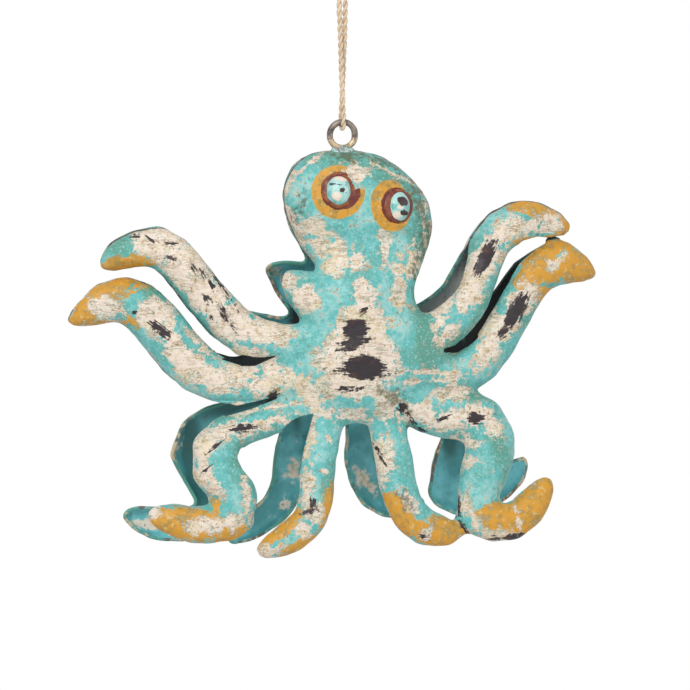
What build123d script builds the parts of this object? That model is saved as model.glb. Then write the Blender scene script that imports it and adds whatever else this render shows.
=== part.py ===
"""Octopus hanging ornament: two hammered sheet-steel shells welded back to back, on a loop of twine.

The front faces -Y. The origin is where a hook bears on the twine, just under its knot.
Heights in the tables below are measured down from the crown of the head, in millimetres.
"""

import os
from math import atan2, cos, dist, pi, radians, sin, sqrt, tan

from build123d import *

# Sheet metal
SHEET = 1.1
SEAM_WIDTH = 1.0
SEAM_END = -28.5
LIMB_RELIEF = 0.85
THINNEST_HOLLOW = 0.4
LIMB_STEP = 6.5
TRUNK_STEP = 5.0
CUT_WIDTH = 120.0

# Hanging ring of bent wire
RING_WIRE_DIAMETER = 2.0
RING_INNER_DIAMETER = 6.2
RING_STAND_OFF = 0.3
RING_WELD_RADIUS = 2.6
RING_WELD_TOP_RADIUS = 1.6
RING_WELD_HEIGHT = 1.5

# Twine, doubled through the ring and knotted above it
TWINE_DIAMETER = 1.5
TWINE_DROP = 41.9
TWINE_CLEARANCE = 0.15
TWINE_LEAD = 5.0
STRAND_SPACING = 2.1
KNOT_DIAMETER = 6.0
KNOT_HEIGHT = 6.5
KNOT_NECK_DIAMETER = 4.2
TAIL_LENGTH = 9.0
TAIL_LEAN = 24.0

# Eye studs, riveted through the head
EYE_DIAMETER = 7.6
EYE_HEIGHT = 2.6
EYE_COLLAR_DIAMETER = 11.0
EYE_COLLAR_HEIGHT = 0.9
EYE_SKIRT = 4.0
RIVET_DIAMETER = 2.4
RIVET_CLEARANCE = 0.1
RIVET_TAIL_DIAMETER = 4.4
RIVET_TAIL_HEIGHT = 1.0
LEFT_EYE = (-3.9, -11.3)
LEFT_EYE_FACING = (-0.16, -0.95, 0.24)
RIGHT_EYE = (15.6, -16.6)
RIGHT_EYE_FACING = (0.36, -0.92, 0.10)

# Tacks that close the tips of the raised arms
TIP_TACK_DIAMETER = 2.4
TIP_TACK_INSET = 1.6
RAISED_ARMS = ["upper_left_arm", "lower_left_arm", "lower_right_arm", "upper_right_arm"]

# Heights of the ring and of the crown of the head
RING_RADIUS = (RING_INNER_DIAMETER + RING_WIRE_DIAMETER) / 2
RING_Z = -TWINE_DROP - RING_RADIUS
CROWN_Z = RING_Z - RING_RADIUS - RING_WIRE_DIAMETER / 2 - RING_STAND_OFF

# Half the distance between the two rims, by height: closed round the head, flared below the neck
FLARE = [
    (0.0, SEAM_WIDTH / 2),
    (SEAM_END, SEAM_WIDTH / 2),
    (-39.5, 10.0),
    (-83.5, 12.5),
    (-110.5, 19.5),
    (-130.0, 21.5),
]
# and by distance from the middle, on the raised arms above the leg line, whose tips close again
REACH = [(0.0, 12.5), (22.0, 12.5), (70.0, SEAM_WIDTH / 2), (100.0, SEAM_WIDTH / 2)]
LEG_LINE = -78.0

# Head, neck and chest, from the crown down: x, height, half width, relief
TRUNK = [
    (-1.2, 0.0, 5.0, 3.0),
    (-0.7, -1.3, 11.0, 6.0),
    (0.8, -4.6, 16.4, 8.8),
    (2.5, -10.3, 20.9, 11.3),
    (4.5, -17.0, 23.1, 12.5),
    (6.5, -25.0, 22.5, 12.0),
    (7.2, -31.0, 19.5, 10.0),
    (6.8, -36.5, 16.4, 8.5),
    (5.5, -43.0, 14.5, 8.0),
    (5.3, -50.0, 17.0, 8.5),
    (5.3, -57.0, 23.5, 9.0),
    (5.3, -64.0, 26.5, 9.5),
    (5.0, -71.0, 23.5, 9.0),
    (4.3, -77.0, 17.5, 7.5),
    (3.0, -82.0, 11.0, 5.0),
    (2.8, -84.5, 5.0, 3.0),
]

# Limbs, each from its root under the chest to its tip: x, height, half width
LIMBS = {
    "shoulder_lobe": [
        (6.0, -52.0, 10.5),
        (-4.0, -48.5, 10.0),
        (-11.0, -45.0, 8.3),
        (-15.5, -42.3, 6.2),
        (-18.6, -40.3, 4.2),
        (-20.8, -38.8, 2.2),
    ],
    "upper_left_arm": [
        (2.0, -61.0, 5.5),
        (-14.5, -60.0, 5.8),
        (-32.0, -56.9, 6.5),
        (-44.6, -44.7, 6.0),
        (-55.0, -31.4, 6.1),
        (-61.0, -28.6, 6.2),
        (-67.0, -29.4, 5.2),
        (-73.0, -31.6, 4.2),
        (-77.5, -34.3, 1.0),
    ],
    "lower_left_arm": [
        (2.0, -68.0, 5.5),
        (-13.0, -69.5, 5.5),
        (-31.0, -72.3, 5.9),
        (-40.5, -70.9, 6.6),
        (-49.2, -66.1, 7.3),
        (-61.7, -50.8, 7.4),
        (-68.1, -45.5, 7.2),
        (-75.8, -45.7, 6.1),
        (-82.0, -49.2, 4.2),
        (-87.4, -51.8, 1.0),
    ],
    "left_leg": [
        (2.0, -72.0, 4.5),
        (-9.7, -77.0, 4.5),
        (-19.8, -81.1, 4.3),
        (-28.5, -83.9, 4.6),
        (-36.6, -85.5, 5.4),
        (-43.0, -89.5, 6.8),
        (-44.6, -94.9, 8.2),
        (-41.3, -100.5, 7.8),
        (-38.8, -106.0, 7.0),
        (-38.4, -110.5, 5.8),
        (-39.0, -114.0, 3.8),
    ],
    "left_foot": [
        (-33.6, -111.8, 2.6),
        (-36.4, -113.4, 4.6),
        (-42.2, -113.9, 5.5),
        (-51.4, -114.1, 5.4),
        (-59.5, -112.1, 4.6),
        (-66.0, -109.7, 1.5),
    ],
    "front_left_leg": [
        (0.0, -70.0, 5.0),
        (-4.8, -76.2, 5.1),
        (-7.6, -84.1, 5.1),
        (-10.3, -91.3, 5.4),
        (-12.0, -98.9, 5.4),
        (-12.5, -106.5, 5.1),
        (-15.1, -114.1, 5.1),
        (-20.7, -118.9, 4.8),
        (-27.0, -122.0, 3.8),
        (-32.0, -123.6, 1.4),
    ],
    "front_right_leg": [
        (8.0, -70.0, 5.2),
        (9.8, -76.7, 5.4),
        (11.2, -85.1, 5.5),
        (12.7, -93.1, 5.6),
        (13.2, -100.9, 5.8),
        (14.7, -108.3, 5.4),
        (17.7, -114.4, 5.7),
        (23.8, -119.0, 5.3),
        (30.4, -120.3, 3.8),
        (34.8, -119.9, 1.2),
    ],
    "right_leg": [
        (8.0, -72.0, 5.5),
        (19.7, -78.4, 6.8),
        (26.4, -83.2, 6.8),
        (36.2, -83.8, 8.0),
        (43.9, -88.2, 8.2),
        (44.6, -96.5, 7.8),
        (41.5, -103.8, 7.0),
        (39.8, -110.3, 6.2),
        (40.2, -115.0, 4.4),
    ],
    "right_foot": [
        (33.9, -111.8, 2.8),
        (36.8, -114.2, 5.0),
        (42.7, -117.0, 6.1),
        (50.7, -117.7, 5.8),
        (58.0, -112.7, 5.0),
        (62.4, -107.3, 3.3),
        (64.2, -104.6, 1.0),
    ],
    "lower_right_arm": [
        (6.0, -69.0, 6.0),
        (23.0, -71.7, 6.4),
        (38.3, -70.4, 6.7),
        (46.3, -64.7, 6.7),
        (53.3, -55.0, 6.4),
        (58.8, -46.2, 6.4),
        (65.0, -39.2, 6.8),
        (72.4, -36.9, 7.0),
        (79.4, -39.4, 4.2),
        (84.4, -41.7, 1.0),
    ],
    "upper_right_arm": [
        (5.0, -63.0, 5.5),
        (18.0, -60.9, 5.8),
        (30.5, -56.0, 6.4),
        (38.8, -49.1, 6.1),
        (44.0, -38.7, 5.3),
        (47.6, -31.7, 6.0),
        (53.9, -24.8, 6.9),
        (62.4, -23.2, 6.2),
        (69.8, -24.8, 4.6),
        (75.8, -26.0, 1.0),
    ],
}

# How far the hand-cut back shell strays from the front one, in x and height,
# at the root, middle and tip of a limb
BACK_STRAY = {
    "shoulder_lobe": [(0.0, 0.0), (0.0, 1.0), (0.0, 1.5)],
    "left_leg": [(0.0, 0.0), (-0.6, -1.5), (0.5, -6.0)],
    "left_foot": [(-0.5, -5.5), (-1.0, -8.3), (-2.0, -8.0)],
    "front_left_leg": [(0.0, 0.0), (-1.8, -0.5), (-1.5, -4.5)],
    "front_right_leg": [(0.0, 0.0), (-3.0, 0.5), (-2.0, 1.5)],
    "right_leg": [(0.0, 0.0), (1.0, 0.0), (1.0, 0.0)],
    "right_foot": [(1.0, 0.0), (1.5, 0.0), (2.5, 0.5)],
    "lower_right_arm": [(0.0, 0.0), (-1.2, 0.6), (0.0, 0.0)],
    "upper_right_arm": [(0.0, 0.0), (0.6, -0.4), (0.0, 0.0)],
}


def eased(rows, spacing):
    """Evenly spaced rows on a smooth curve through the given rows."""
    at = [0.0]
    for row, following in zip(rows, rows[1:]):
        at.append(at[-1] + dist(row, following))
    slopes = []
    for i in range(len(rows)):
        low, high = max(i - 1, 0), min(i + 1, len(rows) - 1)
        slopes.append([(b - a) / (at[high] - at[low]) for a, b in zip(rows[low], rows[high])])
    count = max(5, round(at[-1] / spacing))
    smooth = []
    for k in range(count + 1):
        place = at[-1] * k / count
        i = max(j for j in range(len(rows) - 1) if at[j] <= place)
        span = at[i + 1] - at[i]
        t = (place - at[i]) / span
        bend = t * t * (3 - 2 * t)
        leave, arrive = span * t * (1 - t) ** 2, span * t * t * (t - 1)
        columns = zip(rows[i], rows[i + 1], slopes[i], slopes[i + 1])
        smooth.append([a + (b - a) * bend + p * leave + q * arrive for a, b, p, q in columns])
    return smooth


def between(table, at):
    """The value at a place in a table of straight stretches, held past its ends."""
    rows = sorted(table)
    if at <= rows[0][0]:
        return rows[0][1]
    for (low, first), (high, last) in zip(rows, rows[1:]):
        if at <= high:
            return first + (last - first) * (at - low) / (high - low)
    return rows[-1][1]


def rim_y(x, height):
    """Where the rim of the front shell lies at a place in the front view."""
    flare = between(FLARE, height)
    if height < LEG_LINE:
        return -flare
    return -min(flare, between(REACH, abs(x)))


def limb(stations, inset=0.0):
    """A tapering round limb lofted through its stations, inset by the sheet for its hollow."""
    rows = [row for row in eased(stations, LIMB_STEP) if row[2] * LIMB_RELIEF > inset + THINNEST_HOLLOW]
    with BuildPart() as blank:
        for i, (x, height, half_width) in enumerate(rows):
            before, after = rows[max(i - 1, 0)], rows[min(i + 1, len(rows) - 1)]
            along = (after[0] - before[0], 0, after[1] - before[1])
            across = (along[2], 0, -along[0])
            place = (x, rim_y(x, height), CROWN_Z + height)
            with BuildSketch(Plane(place, x_dir=across, z_dir=along)):
                Ellipse(half_width - inset, half_width * LIMB_RELIEF - inset)
        loft(ruled=True)
    return blank.part


def trunk(inset=0.0):
    """Head, neck and chest as one loft of level sections, inset by the sheet for its hollow."""
    top, bottom = TRUNK[0][1] - inset, TRUNK[-1][1] + inset
    with BuildPart() as blank:
        for x, height, half_width, relief in eased(TRUNK, TRUNK_STEP):
            if bottom <= height <= top:
                with BuildSketch(Plane((x, rim_y(x, height), CROWN_Z + height))):
                    Ellipse(half_width - inset, relief - inset)
        loft(ruled=True)
    return blank.part


def rim_cutters():
    """What lies behind the rims of the front shell: above the leg line, and below it."""
    at_legs = (LEG_LINE, between(FLARE, LEG_LINE))
    raised = [(CUT_WIDTH, FLARE[0][1])]
    raised += [row for row in FLARE if row[0] > LEG_LINE] + [at_legs]
    lowered = [at_legs] + [row for row in FLARE if row[0] < LEG_LINE]
    right = [(x, -gap) for x, gap in REACH] + [(CUT_WIDTH, -REACH[-1][1])]
    left = [(-x, y) for x, y in reversed(right) if x > 0]
    with BuildPart() as behind_arms:
        with BuildSketch(Plane.YZ.offset(-CUT_WIDTH)):
            with BuildLine():
                edge = [(-gap, CROWN_Z + height) for height, gap in raised]
                Polyline([(CUT_WIDTH, edge[0][1]), *edge, (CUT_WIDTH, edge[-1][1])], close=True)
            make_face()
        extrude(amount=2 * CUT_WIDTH)
        with BuildSketch(Plane.XY.offset(CROWN_Z + LEG_LINE)):
            with BuildLine():
                Polyline([(-CUT_WIDTH, CUT_WIDTH), *left, *right, (CUT_WIDTH, CUT_WIDTH)], close=True)
            make_face()
        extrude(amount=2 * CUT_WIDTH, mode=Mode.INTERSECT)
    with BuildPart() as behind_legs:
        with BuildSketch(Plane.YZ.offset(-CUT_WIDTH)):
            with BuildLine():
                edge = [(-gap, CROWN_Z + height) for height, gap in lowered]
                Polyline([(CUT_WIDTH, edge[0][1]), *edge, (CUT_WIDTH, edge[-1][1])], close=True)
            make_face()
        extrude(amount=2 * CUT_WIDTH)
    return [behind_arms.part, behind_legs.part]


def half_shell(limbs):
    """One hammered sheet: the round form, hollowed to the sheet and cut off at its rims."""
    with BuildPart() as sheet:
        add([trunk(), *(limb(stations) for stations in limbs)])
        add([trunk(SHEET), *(limb(stations, SHEET) for stations in limbs)], mode=Mode.SUBTRACT)
        add(rim_cutters(), mode=Mode.SUBTRACT)
    return sheet.part


def strayed(name):
    """The stations of a limb as it is cut on the back shell."""
    stations = LIMBS[name]
    if name not in BACK_STRAY:
        return stations
    aside = list(zip((0.0, 0.5, 1.0), (x for x, height in BACK_STRAY[name])))
    below = list(zip((0.0, 0.5, 1.0), (height for x, height in BACK_STRAY[name])))
    rows = []
    for i, (x, height, half_width) in enumerate(stations):
        along = i / (len(stations) - 1)
        rows.append((x + between(aside, along), height + between(below, along), half_width))
    return rows


def head_slab(inset=0.0):
    """A slice of the head as thick as its seam, down to the end of the seam."""
    with BuildPart() as slab:
        for x, height, half_width, relief in eased(TRUNK, TRUNK_STEP):
            if SEAM_END - 2 * TRUNK_STEP < height <= TRUNK[0][1] - inset:
                with BuildSketch(Plane((x, 0, CROWN_Z + height))):
                    Rectangle(2 * (half_width - inset), SEAM_WIDTH)
        loft(ruled=True)
        split(bisect_by=Plane.XY.offset(CROWN_Z + SEAM_END))
    return slab.part


def eye_place(middle, facing):
    """The plane in which an eye stud sits on the front of the head."""
    x, height = middle
    rows = eased(TRUNK, TRUNK_STEP)
    centre, half_width, relief = (between([(row[1], row[k]) for row in rows], height) for k in (0, 2, 3))
    y = rim_y(x, height) - relief * sqrt(1 - ((x - centre) / half_width) ** 2)
    return Plane((x, y, CROWN_Z + height), z_dir=facing)


def eye_stud(place):
    """A domed stud seated on the head, with its rivet through the sheet and the peened tail inside."""
    shoulder = (EYE_DIAMETER / 2, EYE_COLLAR_HEIGHT)
    with BuildPart() as turned:
        with BuildSketch(Plane.XZ):
            with BuildLine():
                Polyline((0, EYE_HEIGHT), (0, -EYE_SKIRT), (EYE_COLLAR_DIAMETER / 2, -EYE_SKIRT),
                         (EYE_COLLAR_DIAMETER / 2, 0), shoulder)
                TangentArc((0, EYE_HEIGHT), shoulder, tangent=(1, 0))
            make_face()
        revolve(axis=Axis.Z)
    with BuildPart() as cap:
        add(turned.part.moved(place.location))
        add(head_form, mode=Mode.SUBTRACT)
    with BuildPart() as tail:
        with Locations(place):
            Cylinder(RIVET_TAIL_DIAMETER / 2, 2 * (SHEET + RIVET_TAIL_HEIGHT))
        add(head_hollow, mode=Mode.INTERSECT)
    with BuildPart() as stud:
        add([cap.part, tail.part])
        with Locations(place.offset(EYE_COLLAR_HEIGHT)):
            Cylinder(RIVET_DIAMETER / 2, EYE_COLLAR_HEIGHT + SHEET + RIVET_TAIL_HEIGHT,
                     align=(Align.CENTER, Align.CENTER, Align.MAX))
    return stud.part


head_form = trunk()
head_hollow = trunk(SHEET)
left_eye_place = eye_place(LEFT_EYE, LEFT_EYE_FACING)
right_eye_place = eye_place(RIGHT_EYE, RIGHT_EYE_FACING)

with BuildPart() as front_shell:
    add(half_shell(LIMBS.values()))
    for place in (left_eye_place, right_eye_place):
        with Locations(place):
            Cylinder(RIVET_DIAMETER / 2 + RIVET_CLEARANCE, 4 * SHEET, mode=Mode.SUBTRACT)

with BuildPart() as back_shell:
    mirror(half_shell([strayed(name) for name in LIMBS]), about=Plane.XZ)

with BuildPart() as head_seam_weld:
    add(head_slab())
    add(head_slab(SHEET), mode=Mode.SUBTRACT)

with BuildPart() as arm_tip_welds:
    for name in RAISED_ARMS:
        (near_x, near_height, near_width), (tip_x, tip_height, tip_width) = LIMBS[name][-2:]
        share = TIP_TACK_INSET / dist((near_x, near_height), (tip_x, tip_height))
        x = tip_x + (near_x - tip_x) * share
        height = tip_height + (near_height - tip_height) * share
        with Locations(Plane((x, 0, CROWN_Z + height), z_dir=(0, 1, 0))):
            Cylinder(TIP_TACK_DIAMETER / 2, SEAM_WIDTH)

with BuildPart() as left_eye:
    add(eye_stud(left_eye_place))

with BuildPart() as right_eye:
    add(eye_stud(right_eye_place))

with BuildPart() as hanging_ring:
    with Locations(Plane((0, 0, RING_Z), z_dir=(0, 1, 0))):
        Torus(RING_RADIUS, RING_WIRE_DIAMETER / 2)

with BuildPart() as ring_weld:
    with Locations((0, 0, CROWN_Z)):
        Cone(RING_WELD_RADIUS, RING_WELD_TOP_RADIUS, RING_WELD_HEIGHT,
             align=(Align.CENTER, Align.CENTER, Align.MIN))
    add(hanging_ring.part, mode=Mode.SUBTRACT)

# The twine runs down in front of the ring's top wire, under it, and up behind it
around = RING_WIRE_DIAMETER / 2 + TWINE_CLEARANCE + TWINE_DIAMETER / 2
aside = STRAND_SPACING / 2
corners = [
    (-aside, 0, 0),
    (-aside, 0, -TWINE_LEAD),
    (0, -around, -TWINE_DROP - around),
    (0, around, -TWINE_DROP - around),
    (aside, 0, -TWINE_LEAD),
    (aside, 0, 0),
]
lead_turn = atan2(dist((aside, around), (0, 0)), TWINE_DROP + around - TWINE_LEAD)
lead_bend = 0.45 * TWINE_LEAD / tan(lead_turn / 2)
bight_bend = 0.9 * around
with BuildPart() as twine:
    with BuildLine() as run:
        FilletPolyline(*corners, radius=[lead_bend, bight_bend, bight_bend, lead_bend])
    with BuildSketch(Plane(corners[0], z_dir=(0, 0, -1))):
        Circle(TWINE_DIAMETER / 2)
    sweep(path=run.wires()[0])
print("bends of the twine", lead_bend, bight_bend)
section = pi / 4 * TWINE_DIAMETER**2
print("twine volume", twine.part.volume, "section x length", section * run.wires()[0].length)

with BuildPart() as twine_knot:
    with BuildSketch(Plane.XZ):
        with BuildLine():
            waist = Spline(
                (KNOT_NECK_DIAMETER / 2, 0),
                (KNOT_DIAMETER / 2, KNOT_HEIGHT * 0.35),
                (KNOT_DIAMETER / 2, KNOT_HEIGHT * 0.65),
                (KNOT_NECK_DIAMETER / 2, KNOT_HEIGHT),
            )
            Polyline(waist @ 1, (0, KNOT_HEIGHT), (0, 0), waist @ 0)
        make_face()
    revolve(axis=Axis.Z)
    for lean in (-TAIL_LEAN, TAIL_LEAN):
        toward = (sin(radians(lean)), 0, cos(radians(lean)))
        with Locations(Plane((0, 0, KNOT_HEIGHT / 2), z_dir=toward)):
            Cylinder(TWINE_DIAMETER / 2, KNOT_HEIGHT / 2 + TAIL_LENGTH,
                     align=(Align.CENTER, Align.CENTER, Align.MIN))

os.makedirs("parts", exist_ok=True)
pieces = {
    "front_shell": front_shell,
    "back_shell": back_shell,
    "head_seam_weld": head_seam_weld,
    "arm_tip_welds": arm_tip_welds,
    "left_eye": left_eye,
    "right_eye": right_eye,
    "hanging_ring": hanging_ring,
    "ring_weld": ring_weld,
    "twine": twine,
    "twine_knot": twine_knot,
}
for name, piece in pieces.items():
    piece.part.label = name
    export_step(piece.part, f"parts/{name}.step")
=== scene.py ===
"""Looks of a hanging octopus ornament: hammered sheet shells, painted in layers and sanded, on jute twine.

Lengths are in metres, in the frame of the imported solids: the front faces -Y and the twine runs up +Z.
"""

import math

import bmesh
import bpy
import numpy as np
from mathutils import Matrix, Vector, noise


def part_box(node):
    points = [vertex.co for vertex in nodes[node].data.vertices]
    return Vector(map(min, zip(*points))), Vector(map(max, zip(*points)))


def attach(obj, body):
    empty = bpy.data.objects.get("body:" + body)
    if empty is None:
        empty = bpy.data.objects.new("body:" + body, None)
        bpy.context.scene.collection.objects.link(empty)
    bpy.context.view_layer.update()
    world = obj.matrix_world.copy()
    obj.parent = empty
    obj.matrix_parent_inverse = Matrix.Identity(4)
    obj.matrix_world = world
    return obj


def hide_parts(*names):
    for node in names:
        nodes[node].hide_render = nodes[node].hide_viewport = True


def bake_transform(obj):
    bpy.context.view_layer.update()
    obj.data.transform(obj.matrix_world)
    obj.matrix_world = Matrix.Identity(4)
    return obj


MM = 0.001
LUMP_SEED = 7
noise.seed_set(LUMP_SEED)

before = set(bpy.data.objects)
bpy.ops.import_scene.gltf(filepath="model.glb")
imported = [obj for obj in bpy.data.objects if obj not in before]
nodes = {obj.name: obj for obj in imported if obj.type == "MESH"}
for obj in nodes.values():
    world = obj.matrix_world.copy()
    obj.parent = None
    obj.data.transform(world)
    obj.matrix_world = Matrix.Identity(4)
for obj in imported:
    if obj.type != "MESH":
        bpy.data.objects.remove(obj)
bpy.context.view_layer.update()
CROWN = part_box("front_shell")[1].z


# Camera and light

PHOTO_SIZE = 690
CAMERA_TARGET = Vector((0.85, 0, -113.2)) * MM
CAMERA_DISTANCE = 0.9
CAMERA_AZIMUTH = math.radians(-13)
CAMERA_ELEVATION = math.radians(8)
SENSOR_WIDTH = 36.0
FOCAL_LENGTH = 146.7
TOWARD_CAMERA = Vector((
    math.sin(CAMERA_AZIMUTH) * math.cos(CAMERA_ELEVATION),
    -math.cos(CAMERA_AZIMUTH) * math.cos(CAMERA_ELEVATION),
    math.sin(CAMERA_ELEVATION),
))


def put(name, data):
    """Adds an object to the scene."""
    thing = bpy.data.objects.new(name, data)
    bpy.context.scene.collection.objects.link(thing)
    return thing


def aim(thing, place):
    """Puts a lamp or a camera in its place, to look at the octopus."""
    thing.location = place
    thing.rotation_euler = (CAMERA_TARGET - thing.location).to_track_quat("-Z", "Y").to_euler()


def add_camera():
    """The camera at the photograph's viewing angle."""
    lens = bpy.data.cameras.new("camera")
    lens.sensor_width = SENSOR_WIDTH
    lens.lens = FOCAL_LENGTH
    camera = put("camera", lens)
    aim(camera, CAMERA_TARGET + TOWARD_CAMERA * CAMERA_DISTANCE)
    bpy.context.scene.camera = camera


def photo_place(points):
    """Where points fall in the photograph, in pixels across and down."""
    right = TOWARD_CAMERA.cross(Vector((0, 0, -1))).normalized()
    up = TOWARD_CAMERA.cross(right)
    from_target = points - np.array(CAMERA_TARGET)
    nearer = CAMERA_DISTANCE - from_target @ np.array(TOWARD_CAMERA)
    scale = PHOTO_SIZE * FOCAL_LENGTH / SENSOR_WIDTH / nearer
    across = PHOTO_SIZE / 2 + from_target @ np.array(right) * scale
    down = PHOTO_SIZE / 2 - from_target @ np.array(up) * scale
    return across, down


def add_lamp(name, place, size, power):
    """A large soft lamp that looks at the octopus."""
    light = bpy.data.lights.new(name, "AREA")
    light.shape = "DISK"
    light.size = size
    light.energy = power
    aim(put(name, light), place)


def add_world(level):
    """Even white light from all round, in front of a white background."""
    world = bpy.data.worlds.new("studio")
    bpy.context.scene.world = world
    world.use_nodes = True
    tree = world.node_tree
    path = tree.nodes.new("ShaderNodeLightPath")
    background = tree.nodes["Background"]
    background.inputs["Color"].default_value = (1, 1, 1, 1)
    seen = tree.nodes.new("ShaderNodeMath")
    seen.operation = "MAXIMUM"
    tree.links.new(path.outputs["Is Camera Ray"], seen.inputs[0])
    tree.links.new(path.outputs["Is Glossy Ray"], seen.inputs[1])
    strength = tree.nodes.new("ShaderNodeMapRange")
    tree.links.new(seen.outputs[0], strength.inputs["Value"])
    strength.inputs["To Min"].default_value = level
    tree.links.new(strength.outputs[0], background.inputs["Strength"])


# Materials: sums on sockets are written as expressions


class Value:
    """A number or colour that changes over a surface, with the sums that materials need."""

    def __init__(self, recipe, socket):
        self.recipe = recipe
        self.socket = socket

    def sum(self, operation, other):
        return self.recipe.make("ShaderNodeMath", {"operation": operation}, {0: self, 1: other})

    def __add__(self, other):
        return self.sum("ADD", other)

    def __mul__(self, other):
        return self.sum("MULTIPLY", other)

    def __sub__(self, other):
        return self.sum("SUBTRACT", other)

    def __rsub__(self, other):
        return self.recipe.make("ShaderNodeMath", {"operation": "SUBTRACT"}, {0: other, 1: self})

    def __truediv__(self, other):
        return self.sum("DIVIDE", other)

    def over(self, low, high):
        """0 below low, 1 above high, and smooth between them."""
        settings = {"interpolation_type": "SMOOTHSTEP"}
        sockets = {"Value": self, "From Min": low, "From Max": high}
        return self.recipe.make("ShaderNodeMapRange", settings, sockets)


class Recipe:
    """A material in the making: its nodes, and the links between them."""

    def __init__(self, name):
        self.material = bpy.data.materials.new(name)
        self.material.use_nodes = True
        self.tree = self.material.node_tree
        self.shader = self.tree.nodes["Principled BSDF"]
        self.place = self.make("ShaderNodeTexCoord", output="Object")

    def make(self, kind, settings=None, sockets=None, output=0):
        """Adds a node: its settings first, then the values or links of its sockets."""
        node = self.tree.nodes.new(kind)
        for name, setting in (settings or {}).items():
            setattr(node, name, setting)
        self.fill(node, sockets or {})
        return Value(self, node.outputs[output])

    def fill(self, node, sockets):
        """Gives sockets their values or links."""
        for name, value in sockets.items():
            if isinstance(value, Value):
                self.tree.links.new(value.socket, node.inputs[name])
            else:
                node.inputs[name].default_value = value

    def layer(self, name):
        """A number painted on the mesh's points."""
        return self.make("ShaderNodeAttribute", {"attribute_name": name}, output="Fac")

    def noise(self, place, detail=3.0, rough=0.55):
        """Cloudy noise over a place, with features of about one unit, from 0 to 1."""
        sockets = {"Vector": place, "Scale": 1.0, "Detail": detail, "Roughness": rough}
        return self.make("ShaderNodeTexNoise", sockets=sockets)

    def grain(self, size, detail=3.0, rough=0.55, stretch=(1, 1, 1), shift=0.0):
        """Cloudy noise with features of about a given size on the piece."""
        scale = tuple(1 / (size * share) for share in stretch)
        sockets = {"Vector": self.place, "Scale": scale, "Location": (shift, 0, 0)}
        return self.noise(self.make("ShaderNodeMapping", sockets=sockets), detail, rough)

    def coats(self, under, *coats):
        """A colour with others painted over it in turn, each by its own amount."""
        for paint, amount in coats:
            sockets = {"Factor": amount, 6: under, 7: paint}
            under = self.make("ShaderNodeMix", {"data_type": "RGBA"}, sockets, output=2)
        return under

    def bump(self, height, depth, strength):
        """Small relief in the shading."""
        sockets = {"Height": height, "Distance": depth, "Strength": strength}
        return self.make("ShaderNodeBump", sockets=sockets)

    def finish(self, **sockets):
        """Sets the shader's sockets, with _ for the spaces in their names."""
        self.fill(self.shader, {name.replace("_", " "): value for name, value in sockets.items()})
        return self.material


def paint_rgb(*parts):
    """A colour given by its red, green and blue on a screen, from about 10 to 255."""
    return tuple(((part / 255 + 0.055) / 1.055) ** 2.4 for part in parts) + (1,)


TEAL = paint_rgb(92, 179, 177)
PALE_TEAL = paint_rgb(172, 214, 208)
GREEN_TEAL = paint_rgb(84, 150, 134)
INNER_TEAL = paint_rgb(120, 202, 208)
INNER_SHADE = paint_rgb(82, 158, 162)
# Painted shade for the deep channels inside the legs
INNER_PAINTED_SHADE = paint_rgb(48, 104, 104)
CREAM = paint_rgb(229, 215, 199)
STAINED_CREAM = paint_rgb(204, 182, 148)
YELLOWED_CREAM = paint_rgb(208, 192, 142)
CRACK_BROWN = paint_rgb(150, 116, 74)
MUSTARD = paint_rgb(207, 149, 44)
DULL_MUSTARD = paint_rgb(160, 132, 68)
BARE_STEEL = paint_rgb(53, 47, 50)
RUSTY_STEEL = paint_rgb(98, 66, 56)
DULL_STEEL = paint_rgb(152, 150, 146)
# Black painted shadow for the slits between limbs and the narrow gaps between the shells
GAP_SHADOW_BLACK = paint_rgb(36, 32, 32)
SEAM_BROWN = paint_rgb(74, 48, 40)
# Olive grime; in the grime patches of the shells it also stands for painted shadow
OLIVE_GRIME_AND_SHADE = paint_rgb(80, 88, 62)
RING_STEEL = paint_rgb(142, 132, 121)
EYE_RED = paint_rgb(97, 33, 27)
RUBBED_RED = paint_rgb(152, 88, 40)
PUPIL = paint_rgb(48, 24, 26)
JUTE = paint_rgb(226, 204, 176)
JUTE_SHADE = paint_rgb(176, 148, 116)


# The grain of the sanding strokes, along and across them
STROKE_LENGTH = 6 * MM
STROKE_WIDTH = 0.7 * MM


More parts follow.
